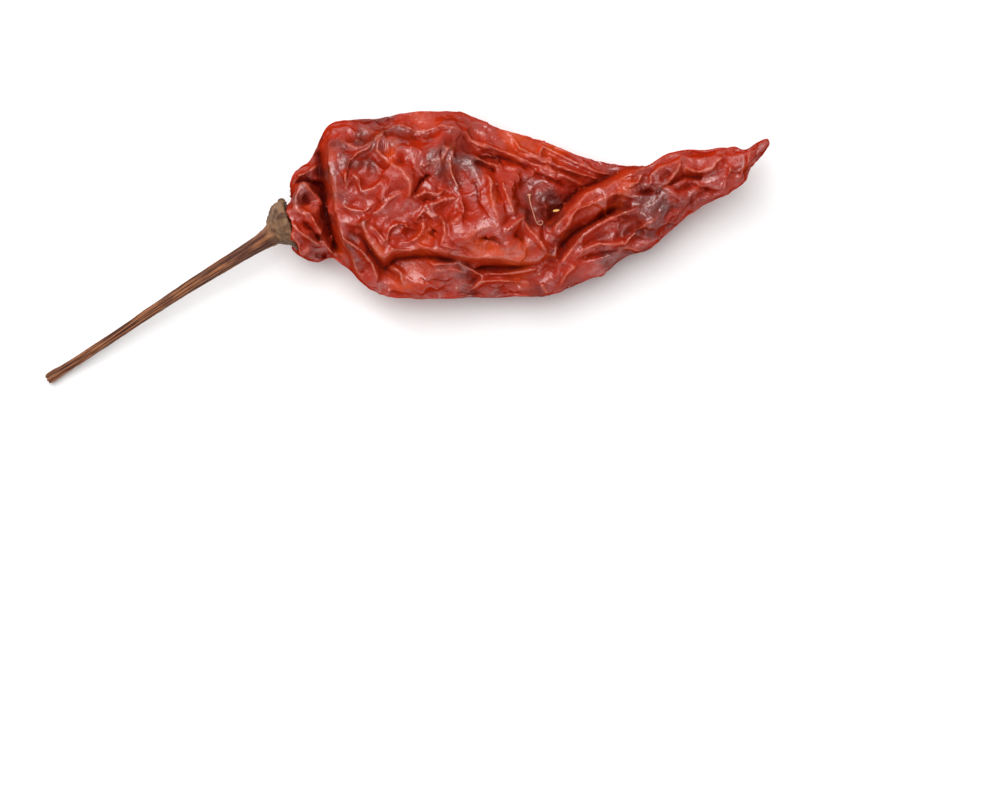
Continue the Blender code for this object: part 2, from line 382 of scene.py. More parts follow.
# %% The long edge that hangs over the lower side
LOWER_SIDE = folds(
    (1.4, 1.4, 0.4, [
        (-8.6, 3.0), (-5.7, 2.4), (-4.7, 0.2), (-3.0, -1.9), (-1.7, -0.8), (0.5, -0.8), (1.9, -0.4),
        (4.1, -0.7), (7.0, -1.4), (9.1, -1.8), (12.4, -1.7), (15.6, -2.2), (17.8, -1.7),
    ]),
    (-0.8, 0.5, 0.8, [
        (-8.0, 2.0), (-5.9, 1.2), (-4.6, -1.0), (-3.0, -2.9), (-1.4, -1.7), (1.4, -1.4), (4.1, -1.6),
        (9.0, -2.8), (13.0, -2.7), (17.6, -2.8),
    ]),
    (1.2, 0.4, 0.4, [(-8.4, 0.9), (-5.9, -0.8), (-4.6, -2.3), (-3.9, -4.2), (-4.2, -5.3)]),
    (1.1, 0.35, 0.4, [(2.6, -1.9), (3.7, -2.6), (7.0, -2.3), (9.1, -3.4), (10.2, -4.1), (9.5, -5.6)]),
    (1.1, 0.35, 0.5, [(10.2, -3.6), (12.7, -3.8), (15.6, -3.4), (17.8, -2.9)]),
    (1.2, 0.4, 0.8, [(8.4, -6.0), (10.0, -4.9), (12.5, -4.6), (15.4, -4.9)]),
    (1.0, 0.4, 0.4, [(-2.1, -2.8), (-0.7, -3.6), (-0.3, -5.3)]),
    (0.6, 0.3, 0.35, [(3.4, -3.4), (6.2, -3.1), (8.4, -3.7)]),
    (-0.6, 0.7, 0.7, [(-6.6, -2.2), (-5.6, -3.6)]),
    (-0.5, 1.0, 0.8, [(1.6, -4.2), (6.0, -4.4)]),
)

# %% [markdown]
# ## The tip half and the upper band
# The tip half lies folded over the body, and its border is the strongest line of the object. Two
# long ridges run up it with creases beside them. Behind it the skin along the upper edge is pulled
# tight, so the folds there are thin, straight and nearly parallel.

# %% The tip half, folded over the body
FLAP = folds(
    (1.6, 0.4, 1.7, [
        (18.7, 1.2), (20.3, 3.0), (23.6, 6.5), (27.2, 8.2), (30.4, 9.8), (32.7, 11.2), (35.3, 12.3),
    ]),
    (-1.0, 1.5, 0.4, [(18.3, 2.4), (19.6, 4.2), (22.8, 7.3), (26.6, 9.1), (29.5, 10.6)]),
    (0.7, 0.35, 0.4, [(19.6, 0.8), (21.3, 2.4), (22.7, 4.7), (24.2, 5.2), (27.8, 7.0), (30.0, 7.2)]),
    (-0.9, 0.7, 0.4, [(19.6, -1.0), (22.3, 1.7), (24.7, 3.0), (26.0, 3.8), (28.3, 5.2)]),
    (-0.8, 0.6, 0.4, [(30.4, 7.0), (33.7, 7.2), (37.1, 9.2), (40.4, 9.0)]),
    (1.2, 0.35, 1.1, [
        (20.0, -3.2), (21.5, -1.1), (23.4, 1.3), (25.7, 2.9), (27.8, 3.9), (31.1, 5.1),
    ]),
    (0.7, 0.4, 0.4, [(22.3, -0.9), (25.7, 0.2), (29.3, 0.4), (31.6, 2.7), (34.0, 4.0)]),
    (-0.6, 0.6, 0.5, [(23.5, -1.6), (27.4, -0.7), (30.2, -0.4)]),
    (0.8, 0.4, 0.5, [(20.5, -5.2), (21.6, -3.4), (22.8, -2.3)]),
    (1.0, 0.3, 0.3, [(17.9, 0.4), (18.7, -1.0), (19.6, -1.3), (20.4, 0.4)]),
    (0.7, 0.5, 0.5, [(17.9, -5.0), (19.0, -6.4)]),
    (0.6, 0.4, 0.4, [(28.0, -0.8), (29.6, -0.2), (31.5, -0.6)]),
)
TIP = folds(
    (0.6, 0.4, 0.4, [(32.4, 7.7), (32.7, 9.5), (34.8, 10.8), (36.6, 11.3), (36.2, 10.0), (34.4, 7.9)]),
    (-0.6, 0.8, 0.8, [(33.8, 8.8), (35.2, 9.8)]),
    (0.9, 0.4, 0.4, [(37.1, 10.4), (38.7, 9.8), (40.7, 10.2), (41.5, 11.2), (42.5, 12.0)]),
    (0.7, 0.35, 0.35, [(43.2, 10.6), (42.8, 8.8), (42.2, 7.6)]),
    (0.7, 0.35, 0.35, [(29.3, 7.6), (30.8, 8.4), (31.6, 9.7)]),
    (-0.7, 0.5, 0.4, [(35.4, 7.2), (38.2, 8.2), (40.8, 7.4)]),
    (0.5, 0.3, 0.3, [(45.8, 12.7), (45.5, 10.6), (44.7, 9.2)]),
)
UPPER_BAND = folds(
    (0.8, 0.35, 0.4, [(8.5, 13.9), (11.2, 13.2), (16.4, 11.3), (20.3, 9.7), (24.1, 7.9)]),
    (-0.8, 0.3, 0.35, [(9.4, 12.7), (14.6, 11.2), (18.4, 9.3), (22.1, 7.6)]),
    (0.8, 0.35, 0.4, [
        (13.8, 15.4), (15.1, 13.1), (17.7, 11.9), (18.2, 13.5), (19.5, 12.7), (21.6, 11.7), (25.7, 9.9),
        (28.0, 9.6),
    ]),
    (0.6, 0.3, 0.3, [(15.5, 12.3), (19.0, 11.1), (22.5, 9.9), (26.5, 8.8)]),
    (-0.6, 0.3, 0.3, [(15.5, 11.8), (20.0, 10.3), (24.0, 9.0)]),
)
BODY = SHOULDER + CREVICE + NECK + LEFT_PANELS + MIDDLE_PANELS + RIGHT_PANELS + LOWER_SIDE
FOLDS = BODY + FLAP + TIP + UPPER_BAND
CRISP_FOLDS = [fold for fold in FOLDS if fold not in CREVICE]
OPEN_CREASES = CREVICE + [LOWER_SIDE[1], FLAP[1], FLAP[3], UPPER_BAND[1]]
print("folds placed by hand:", len(FOLDS))

# %% [markdown]
# ## Press the folds in
# The solid is as high as the tops of the folds, so the skin between them is sunk as the folds lift
# it. The underside is raised a little, so that when it crumples it stands on its ridges. The folds
# are pressed in three times, this time broadly, and narrower after each crumple.

# %% Press the folds in
UNDERSIDE_RAISE = 0.5
UPPER_SINK = 1.3
FIRST_PRESS, SECOND_PRESS, THIRD_PRESS = 0.8, 0.25, 0.2

plan = points[:, :2].copy()
normals = get_normals(pod_mesh)
upper = smooth_step(normals[:, 2], 0.0, 0.5)
faces_down = smooth_step(-normals[:, 2], 0.0, 0.6)
points[:, 2] += FIRST_PRESS * upper * sum(fold_lift(fold, plan) for fold in FOLDS)
points[:, 2] += UNDERSIDE_RAISE * faces_down - UPPER_SINK * smooth_step(share, 0.2, 0.8) * body
set_points(pod_mesh, points)

# %% [markdown]
# ## Where the skin is loose
# Skin crumples where it has most to spare. It is loosest underneath and then in the middle of the
# upper side, and tight along the edges, the shoulder and the upper band. On the flap, the band and
# the lower side it also has room to spare across the pod, so it pleats lengthwise there.

# %% Regions of the skin
normals = get_normals(pod_mesh)
x, y = points.T[:2]
faces_up = smooth_step(normals[:, 2], -0.2, 0.6)
band = faces_up * smooth_step(x, 8, 13) * smooth_step(34 - x, 0, 4) * smooth_step(y + 0.36 * x, 16.3, 17.8)
flap = smooth_step(x - 0.65 * y, 11.8, 16.8) * (1 - band)
lower = smooth_step(-1.0 - y, 0, 1.5) * smooth_step(x, -6, 0) * smooth_step(22 - x, 0, 4)
neck = smooth_step(-9.8 - x, 0, 2)
shoulder = np.clip(fold_lift(SHOULDER[0], plan), 0, 1) * faces_up
crevice = np.clip(-sum(fold_lift(fold, plan) for fold in CREVICE) / 2, 0, 1) * faces_up

loose = 0.04 + 0.045 * faces_up + 0.07 * smooth_step(-normals[:, 2], 0, 0.6)
loose = loose * (1 - 0.3 * flap) * (1 - 0.8 * band) * (1 - 0.5 * lower) * (1 - 0.5 * neck)
loose = loose * (1 - 0.8 * shoulder) * (1 - crevice) * (1 - 0.85 * edge)
loose = loose * np.clip(1 + 1.2 * ripples(points, 5.0, 1.0, 11.0), 0.3, 1.6)
pleats = (0.14 * band + 0.05 * flap + 0.06 * lower) * (1 - 0.8 * edge)
print("looseness:", loose.min().round(3), "to", loose.max().round(3))

# %% [markdown]
# ## Facets
# A crumpled sheet is not wavy. It is made of shallow dished facets that meet in sharp ridges.
# A field of such facets is simple to write: scatter centres, stand a tilted bowl on each, and take
# the lowest bowl at every point. Ridges appear wherever two bowls meet.

# %% A field of facets
def facets(points, size, tilt, seed, neighbours=7):
    """Heights from 0 up, for facets of a size in millimetres whose floors slope by about tilt."""
    chance = np.random.default_rng(seed)
    count = int(3400 / size**2)
    centres = points[chance.choice(len(points), count, replace=False)]
    slopes = chance.normal(0, tilt, (count, 3))
    floors = chance.normal(0, 0.4 * tilt * size, count)
    tree = kdtree.KDTree(count)
    for index, centre in enumerate(centres):
        tree.insert(Vector(centre), index)
    tree.balance()
    near = np.array([[hit[1] for hit in tree.find_n(Vector(p), neighbours)] for p in points])
    away = points[:, None, :] - centres[near]
    bowls = floors[near] + (slopes[near] * away).sum(2) + 2.2 * tilt / size * (away**2).sum(2)
    return bowls.min(1) - np.median(bowls.min(1))


def wandering(points, amount, size):
    """The points, moved about by smooth noise, so that a pattern made from them has no straight lines."""
    moves = [ripples(points, size, 1.0, offset) for offset in (31.0, 57.0, 83.0)]
    return points + amount * np.column_stack(moves)

# %% [markdown]
# ## Crumpling
# Every spring is made a little too long for where it lies, and a loose skin that can't lie flat has
# to buckle. Two things decide how. Bending resists tight curves, but gives way once a crease has
# formed, which keeps the facets flat and the ridges sharp. The flesh underneath resists being
# pushed in more than the air resists a ridge, so ridges are narrow and hollows are wide.
# The cloth simulator could do this too, but it can't be told which way each patch grows.

# %% The crumpling simulation
CREASE_BEND = 0.03
SPRING_PUSH = 1.4


def crumpled(skin, points, normals, loose, stiffness, flesh, air, rounds, start, across, pleats):
    a, b = skin.springs.T
    gap = points[a] - points[b]
    rest = np.linalg.norm(gap, axis=1)
    sideways = ((gap / rest[:, None]) * (across[a] + across[b]) / 2).sum(1) ** 2
    rest = rest * (1 + (loose[a] + loose[b]) / 2 + sideways * (pleats[a] + pleats[b]) / 2)
    flat = points
    points = points + normals * start[:, None]
    for _ in range(rounds):
        points = points + SPRING_PUSH * skin.spring_moves(points, rest)
        shift = points - flat
        bend = skin.laplace(shift)
        bend = bend / (1 + (bend**2).sum(1) / CREASE_BEND**2)[:, None]
        points = points - stiffness[:, None] * skin.laplace(bend)
        rise = (shift * normals).sum(1)
        points = points - (np.where(rise < 0, flesh, air) * rise)[:, None] * normals
    return points

# %% [markdown]
# ## The first crumple
# The simulation needs a start, or the skin would only swell evenly. The start is two sizes of
# facets on slightly warped points, left out where the skin is tight. Afterwards the deepest creases
# are pulled open, because skin that leans over them would hide them, and the listed folds are
# pressed in once more, narrower, to make them crisp again.

# %% First crumple: the broad facets
angle = np.radians(-20 * band + 24 * flap)
grain = np.column_stack([np.cos(angle), np.sin(angle), 0 * angle])
across = np.cross(normals, grain)
across = across / np.linalg.norm(across, axis=1)[:, None]
wandered = wandering(points, 1.2, 4.0)
start = facets(wandered, 5.0, 0.24, seed=3) + facets(wandered, 2.3, 0.26, seed=8)
start = start * (1 - 0.8 * band) * (1 - 0.6 * edge) * (1 - 0.5 * shoulder) * (1 - 0.4 * neck)
start = start * (1 - 0.45 * flap)
start = start + band * 0.4 * ripples(points, 0.8, 5.0, 5.0)
points = crumpled(
    skin, points, normals, loose, stiffness=0.07 - 0.04 * band, flesh=0.002 + 0.012 * band,
    air=0.0006 + 0.006 * band, rounds=160, start=start, across=across, pleats=pleats,
)
wide = [fold._replace(height=1.8, left=1.5, right=1.5) for fold in OPEN_CREASES]
held_open = sum(fold_lift(fold, plan) for fold in wide)
held_open = np.clip(held_open, 0, 0.95) * upper
points[:, :2] += held_open[:, None] * (plan - points[:, :2])
crisp = sum(fold_lift(fold, plan, narrow=0.6) for fold in CRISP_FOLDS)
points[:, 2] += SECOND_PRESS * faces_up * crisp
points[:, 2] = np.maximum(points[:, 2], 0.05)
set_points(pod_mesh, points)
write_attribute(pod_mesh, "plan_x", plan[:, 0])
write_attribute(pod_mesh, "plan_y", plan[:, 1])
write_attribute(pod_mesh, "upper", upper)
print("first crumple:", points.min(0).round(2), points.max(0).round(2))

# %% [markdown]
# ## A finer skin, and finer creases
# One level of Subdivision Surface rounds the ridges and halves the squares. Then the skin crumples
# again, more gently and only in patches, for the fine creases between the broad ones. Its relief is
# sharpened, and the highest tops are pressed down so that they stay within the solid's height.

# %% Second crumple: the fine creases
CEILING_START = 13.6
CEILING_ROOM = 1.1
SHARPENING = 0.75
MOST_RELIEF = 0.10
PATCHES = 0.06
FLOOR_GAP = 0.03

finer = pod.modifiers.new("finer", "SUBSURF")
finer.levels = finer.render_levels = 1
pod_mesh = applied(pod)
skin = Skin(pod_mesh)
points = get_points(pod_mesh)
normals = get_normals(pod_mesh)
plan = np.column_stack([read_attribute(pod_mesh, "plan_x"), read_attribute(pod_mesh, "plan_y")])
upper = read_attribute(pod_mesh, "upper")
faces_up = smooth_step(normals[:, 2], 0.1, 0.5)
patchy = PATCHES * smooth_step(ripples(points, 3.0, 1.0, 21.0), -0.2, 0.3)
nothing = 0 * patchy
tight = 1 - smooth_step(np.abs(normals[:, 2]), 0.25, 0.5)
wandered = wandering(points, 0.7, 1.8)
fine_start = facets(wandered, 1.4, 0.18, seed=5, neighbours=6)
fine_start = fine_start * patchy / PATCHES * (1 - 0.8 * tight)
points = crumpled(
    skin, points, normals, patchy, stiffness=nothing + 0.02, flesh=0.01, air=0.003, rounds=30,
    start=fine_start, across=normals, pleats=nothing,
)
crisp = sum(fold_lift(fold, plan, narrow=0.4) for fold in CRISP_FOLDS)
points[:, 2] += THIRD_PRESS * faces_up * crisp
relief = ((points - skin.smoothed(points, 3)) * get_normals(pod_mesh)).sum(1)
points += SHARPENING * np.clip(relief, -MOST_RELIEF, MOST_RELIEF)[:, None] * normals
over = np.maximum(points[:, 2] - CEILING_START, 0)
points[:, 2] += CEILING_ROOM * np.tanh(over / CEILING_ROOM) - over
points[:, 2] = np.maximum(points[:, 2], FLOOR_GAP)
set_points(pod_mesh, points)
pod_mesh.shade_smooth()
print("finished skin:", len(points), "points", 2 * len(pod_mesh.polygons), "triangles")

# %% [markdown]
# ## What the shader needs to know
# The colour of the skin is made to follow its relief. Thin ridges are painted a paler orange, a
# painted glow for the light that shines through them, and the bottoms of creases are painted dark
# as shade and made matte. Both are measured on the finished mesh and kept as attributes, so that
# the pattern belongs to the surface: `crest` compares a point with its close surroundings, and
# `depth` with its wide ones. `painted_ridge_highlight` and `painted_crease_shade` follow the listed
# folds: painted highlight lines along the ridges, and painted shade along the closed creases.

# %% Measure ridges and hollows
normals = get_normals(pod_mesh)
crest = ((points - skin.smoothed(points, 4)) * normals).sum(1)
depth = ((points - skin.smoothed(points, 60)) * normals).sum(1)
write_attribute(pod_mesh, "crest", crest)
write_attribute(pod_mesh, "depth", depth)
painted_ridge_highlight, painted_crease_shade = 0 * depth, 0 * depth
# painted highlight along each ridge, and painted shade along each deeper crease
for fold in FOLDS:
    if fold.height > 0:
        reach = 0.12 + 0.10 * fold.height
        painted_ridge_highlight += fold_lift(fold._replace(height=1.0, left=reach, right=reach), plan)
    else:
        shade = np.clip(-0.35 - fold.height, 0, 1)
        painted_crease_shade += fold_lift(fold._replace(height=shade), plan, narrow=0.9)
write_attribute(pod_mesh, "painted_ridge_highlight", np.clip(upper * painted_ridge_highlight, 0, 1))
write_attribute(pod_mesh, "painted_crease_shade", np.clip(upper * painted_crease_shade, 0, 1))
print("crest and depth at 5 and 95%:", np.percentile(crest, [5, 95]), np.percentile(depth, [5, 95]))

# %% [markdown]
# ## Where it browned, and painted shade at the neck
# A pod browns where it stayed thick and damp, and stays orange where the skin dried fast. Such
# patches are part of how this one looks, so the main ones are listed: x, y, reach, and how far the
# colour leans, from -1 for brown to 1 for orange. The darkest patches, in the crevice and the creases
# of the neck, are painted shade.

# %% Brown and orange patches, and painted shade at the neck
BROWNING_AND_NECK_SHADE = [
    (-6.2, 10.2, 3.0, -0.5), (-7.0, 6.0, 2.0, -0.3), (3.4, 5.0, 3.2, -0.6), (8.2, 12.2, 2.2, -0.5),
    (2.5, 12.6, 2.4, -0.3), (15.4, 5.4, 2.8, -0.7), (18.8, 7.6, 2.0, -0.5), (-14.3, 5.8, 1.6, -0.5),
    (-12.3, -0.6, 1.6, -0.6), (-6.8, 1.0, 1.6, -0.3), (40.5, 7.2, 3.0, -0.5), (33.5, 4.6, 2.6, -0.3),
    (47.0, 13.2, 1.8, -0.7), (25.0, -1.0, 2.4, -0.3), (10.0, 3.6, 1.8, -0.3),
    # painted shade: these two rows darken the crevice and the creases of the neck
    (-10.8, 6.6, 1.2, -1.0), (-10.5, 3.6, 1.2, -1.0), (-11.2, 9.4, 1.0, -0.9), (-13.2, 8.4, 0.9, -1.0),
    (-12.6, 1.4, 1.0, -0.9), (-10.6, -1.0, 0.8, -1.0),
    (2.0, 16.6, 2.6, 0.7), (9.0, 14.9, 2.0, 0.6), (14.6, 14.6, 2.6, 1.0), (19.5, 13.2, 2.2, 1.0),
    (2.5, 1.6, 1.9, 1.0), (-2.0, 11.4, 1.3, 0.9), (11.7, 6.0, 1.4, 1.0), (-13.4, 4.6, 1.2, 0.9),
    (-9.6, -0.8, 1.3, 1.0), (1.0, -3.6, 2.6, 0.9), (9.4, 0.2, 2.6, 0.8), (15.0, -1.6, 2.6, 1.0),
    (-9.8, 11.8, 1.4, 0.5), (24.5, 5.4, 2.4, 0.6), (29.5, 8.6, 2.4, 0.6), (-3.6, -0.6, 1.4, 0.8),
    (38.0, 11.4, 2.4, 0.4), (14.5, -5.6, 2.4, 0.3),
]

leaning = 0 * depth
for patch_x, patch_y, reach, lean in BROWNING_AND_NECK_SHADE:
    away = np.hypot(points[:, 0] - patch_x, points[:, 1] - patch_y)
    leaning += lean * np.exp(-((away / reach) ** 2))
write_attribute(pod_mesh, "leaning", np.clip(leaning, -1, 1))
print("leaning:", leaning.min().round(2), "to", leaning.max().round(2))

# %% [markdown]
# ## Node helpers
# Finishes and geometry groups are built from the same few nodes, so each gets a short helper. A
# `Nodes` holds one node tree, and adds and wires nodes in it.

# %% Small helpers for node trees
class Nodes:
    def __init__(self, tree):
        self.tree = tree

    def add(self, kind, inputs=(), **settings):
        node = self.tree.nodes.new(kind)
        for name, value in settings.items():
            setattr(node, name, value)
        return self.set(node, inputs)

    def set(self, node, inputs):
        for socket, value in dict(inputs).items():
            self.feed(node.inputs[socket], value)
        return node

    def feed(self, socket, value):
        if isinstance(value, bpy.types.NodeSocket):
            self.tree.links.new(value, socket)
        elif socket.type == "RGBA":
            socket.default_value = (*value, 1)
        else:
            socket.default_value = value

    def first(self, kind, inputs=(), **settings):
        """The first output of a new node."""
        return self.add(kind, inputs, **settings).outputs[0]

    def math(self, operation, a, b=0.0):
        return self.first("ShaderNodeMath", {0: a, 1: b}, operation=operation)

    def times(self, a, b):
        return self.math("MULTIPLY", a, b)

    def plus(self, a, b):
        return self.math("ADD", a, b)

    def vector_math(self, operation, a, b):
        second = 3 if operation == "SCALE" else 1
        return self.first("ShaderNodeVectorMath", {0: a, second: b}, operation=operation)

    def remap(self, value, low, high, out_low=0.0, out_high=1.0):
        names = ("Value", "From Min", "From Max", "To Min", "To Max")
        sizes = zip(names, (value, low, high, out_low, out_high))
        return self.first("ShaderNodeMapRange", sizes, interpolation_type="SMOOTHSTEP")

    def clouds(self, where, scale, detail=3.0):
        sizes = {"Vector": where, "Scale": scale, "Detail": detail, "Roughness": 0.55}
        return self.first("ShaderNodeTexNoise", sizes)

    def mix(self, share, a, b):
        return self.add("ShaderNodeMix", {0: share, 6: a, 7: b}, data_type="RGBA").outputs[2]

    def attribute(self, name, output="Fac"):
        return self.add("ShaderNodeAttribute", attribute_name=name).outputs[output]

    def store(self, geometry, name, value, kind="FLOAT"):
        """The geometry, with a value kept at each of its points."""
        inputs = {"Geometry": geometry, "Name": name, "Value": value}
        return self.first("GeometryNodeStoreNamedAttribute", inputs, data_type=kind, domain="POINT")

    def finished(self, geometry, material):
        """The last two nodes of a geometry group: only real faces, with a material."""
        geometry = self.first("GeometryNodeRealizeInstances", {0: geometry})
        return self.first("GeometryNodeSetMaterial", {"Geometry": geometry, "Material": material})


# %% [markdown]
# ## New materials and groups
# A material starts from the Principled shader. A group starts from its named inputs and outputs,
# each with its kind and its usual value.

# %% Start a material or a group
def new_material(name):
    material = bpy.data.materials.new(name)
    material.use_nodes = True
    nodes = Nodes(material.node_tree)
    return material, nodes, material.node_tree.nodes["Principled BSDF"]


def plain_material(name, colour, roughness):
    material, nodes, shader = new_material(name)
    nodes.set(shader, {"Base Color": colour, "Roughness": roughness})
    return material


def new_group(name, kind, inputs, outputs):
    """A node group with sockets given as (name, type, value), and the nodes that hold them."""
    tree = bpy.data.node_groups.new(name, kind)
    for sockets, direction in ((inputs, "INPUT"), (outputs, "OUTPUT")):
        for socket, holds, value in sockets:
            holds = "NodeSocket" + holds
            made = tree.interface.new_socket(socket, in_out=direction, socket_type=holds)
            if value is not None:
                made.default_value = value
    nodes = Nodes(tree)
    return nodes, nodes.add("NodeGroupInput").outputs, nodes.add("NodeGroupOutput").inputs

# %% [markdown]
# ## Effects that both finishes share
# Skin and stem dried together, and two things show on both. Their surface has a fine grain, too
# small to model, that breaks up the highlights. And their colour is mottled in soft-edged patches.
# Each effect is one node group with its sizes as inputs.

# %% Shader group: fine grain
nodes, given, result = new_group(
    "fine_grain", "ShaderNodeTree",
    inputs=[("Where", "Vector", None), ("Scale", "Float", 1200.0), ("Depth", "Float", 0.00003)],
    outputs=[("Normal", "Vector", None)],
)
pimples = nodes.clouds(given["Where"], given["Scale"], 4.0)
bent = nodes.vector_math("ADD", given["Where"], nodes.vector_math("SCALE", pimples, 0.0004))
crinkles = nodes.add(
    "ShaderNodeTexVoronoi", {"Vector": bent, "Scale": nodes.times(given["Scale"], 0.7)},
).outputs["Distance"]
grain_height = nodes.plus(pimples, crinkles)
bump = nodes.add("ShaderNodeBump", {"Height": grain_height, "Distance": given["Depth"], "Strength": 1.0})
nodes.feed(result["Normal"], bump.outputs["Normal"])
FINE_GRAIN = nodes.tree

# %% [markdown]
# ## Mottling
# Dried plant skin never has one even colour. Soft noise cut off between two levels gives patches
# with blurred borders. The two levels set how much is covered, and the amount sets how strong the
# patch is, so one group serves brown spots, orange glow and waxy shine.

# %% Shader group: mottling
nodes, given, result = new_group(
    "mottling", "ShaderNodeTree",
    inputs=[
        ("Where", "Vector", None), ("Scale", "Float", 200.0), ("From", "Float", 0.4),
        ("To", "Float", 0.6), ("Amount", "Float", 1.0),
    ],
    outputs=[("Mask", "Float", None)],
)
patch_noise = nodes.clouds(given["Where"], given["Scale"], 3.0)
patches = nodes.remap(patch_noise, given["From"], given["To"])
nodes.feed(result["Mask"], nodes.times(patches, given["Amount"]))
MOTTLING = nodes.tree

# %% [markdown]
# ## Short calls for the groups
# These functions add a group's node to a material, set its inputs and give back its output.

# %% Using the shared groups
def mottled(nodes, where, scale, low, high, amount=1.0):
    sizes = {"Where": where, "Scale": scale, "From": low, "To": high, "Amount": amount}
    return nodes.first("ShaderNodeGroup", sizes, node_tree=MOTTLING)


def grained(nodes, where, scale, depth):
    sizes = {"Where": where, "Scale": scale, "Depth": depth * MM}
    return nodes.first("ShaderNodeGroup", sizes, node_tree=FINE_GRAIN)

# %% [markdown]
# ## The dried skin
# Ripe red pigment has browned unevenly, and a waxy cuticle lies over it. The colour is laid on in
# layers: a deep red, brown and orange patches, painted shade in the hollows and closed creases, and a
# painted glow and highlight on the ridges. The wax shines softly. Seen along the surface a
# smooth-surface shader would reflect far more than such uneven wax does, so its strength is turned
# down where the skin turns away.

# %% The skin's material
skin_material, nodes, shader = new_material("dried_skin")
where = nodes.add("ShaderNodeTexCoord").outputs["Object"]
leaning = nodes.attribute("leaning")
brown = nodes.math("SUBTRACT", mottled(nodes, where, 110.0, 0.42, 0.62), leaning)
brown = nodes.plus(brown, mottled(nodes, where, 420.0, 0.40, 0.70, 0.4))
orange = nodes.plus(mottled(nodes, where, 230.0, 0.50, 0.70, 0.6), leaning)
colour = nodes.mix(nodes.remap(brown, 0.2, 1.8), (0.38, 0.019, 0.004), (0.13, 0.012, 0.007))
colour = nodes.mix(nodes.remap(orange, 0.2, 1.3), colour, (0.56, 0.050, 0.005))
# painted shade: darker where the skin lies below its wide surroundings, in creases and hollows
colour = nodes.mix(nodes.remap(nodes.attribute("depth"), -0.1, -0.7), colour, (0.08, 0.003, 0.002))
# painted glow and highlight: narrow convex ridges are paler orange
painted_ridge_glow = nodes.remap(nodes.attribute("crest"), 0.02, 0.14, 0.0, 0.4)
colour = nodes.mix(painted_ridge_glow, colour, (0.50, 0.070, 0.025))
# painted highlight: pale lines along the ridges of the folds, broken up by noise
breaks = nodes.remap(nodes.clouds(where, 700.0), 0.38, 0.58)
painted_ridge_highlight = nodes.times(nodes.attribute("painted_ridge_highlight"), nodes.plus(nodes.times(breaks, 0.7), 0.3))
colour = nodes.mix(nodes.times(painted_ridge_highlight, 0.5), colour, (0.60, 0.12, 0.065))
# painted shade: dark along the closed creases, only where the skin lies low
painted_crease_shade = nodes.times(nodes.attribute("painted_crease_shade"), nodes.remap(nodes.attribute("depth"), 0.3, -0.1))
colour = nodes.mix(nodes.times(painted_crease_shade, 0.85), colour, (0.05, 0.0015, 0.001))
roughness = nodes.remap(nodes.clouds(where, 500.0), 0.3, 0.7, 0.30, 0.42)
wrinkles = nodes.math("ABSOLUTE", nodes.math("SUBTRACT", nodes.clouds(where, 450.0, 4.0), 0.5))
wrinkled = nodes.add("ShaderNodeBump", {
    "Height": nodes.times(wrinkles, -1.0), "Distance": 0.0005,
    "Normal": grained(nodes, where, 1500.0, 0.08),
}).outputs["Normal"]
turned_away = nodes.add("ShaderNodeLayerWeight", {"Blend": 0.5}).outputs["Facing"]
shine = nodes.remap(turned_away, 0.10, 0.6, 0.85, 0.0)
open_to_light = nodes.remap(nodes.attribute("depth"), -0.35, 0.05, 0.05, 1.0)
waxy = nodes.plus(mottled(nodes, where, 330.0, 0.42, 0.60, 0.95), 0.65)
shine = nodes.times(nodes.times(shine, waxy), open_to_light)
nodes.set(shader, {
    "Base Color": colour, "Roughness": roughness, "Normal": wrinkled, "Specular IOR Level": shine,
    "Subsurface Weight": 0.1, "Subsurface Radius": (1.0, 0.15, 0.08), "Subsurface Scale": 1.2 * MM,
})
pod_mesh.materials.clear()
pod_mesh.materials.append(skin_material)
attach(pod, "root")
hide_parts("pod")

# %% [markdown]
# ## The stem's finish
# A dried stem is wood-like: dark brown grooves between paler fibres that run its whole length. It
# turns grey-olive where it flares into the calyx. The fibres follow the stem because their noise is
# looked up along the stem and around it, with the `fibre` attribute that the sweep below stores.

# %% The stem's material
stem_material, nodes, shader = new_material("dried_stem")
where = nodes.add("ShaderNodeTexCoord").outputs["Object"]
fibre = nodes.attribute("fibre", "Vector")
along = nodes.attribute("along")
fibres = nodes.remap(nodes.clouds(fibre, 3.2, 4.0), 0.40, 0.62)
colour = nodes.mix(fibres, (0.055, 0.014, 0.006), (0.36, 0.140, 0.060))
colour = nodes.mix(mottled(nodes, where, 260.0, 0.45, 0.7, 0.6), colour, (0.07, 0.020, 0.013))
olive = nodes.mix(mottled(nodes, where, 900.0, 0.4, 0.65), (0.24, 0.130, 0.068), (0.09, 0.040, 0.021))
colour = nodes.mix(nodes.remap(along, 0.11, 0.05), colour, olive)
nodes.set(shader, {
    "Base Color": colour, "Roughness": 0.55, "Specular IOR Level": 0.2,
    "Normal": grained(nodes, where, 2200.0, 0.06),
})

# %% [markdown]
# ## The stem as a rule
# A stem is one ribbed profile carried along one line, so it is made with Geometry Nodes: a curve
# through a few listed points, a circle swept along it, and a displacement that cuts ribs and
# fibres along it and knobbles into the calyx. Every size is an input of the group, so the same group
# can make another stem. Catmull-Rom passes the curve smoothly through each point.

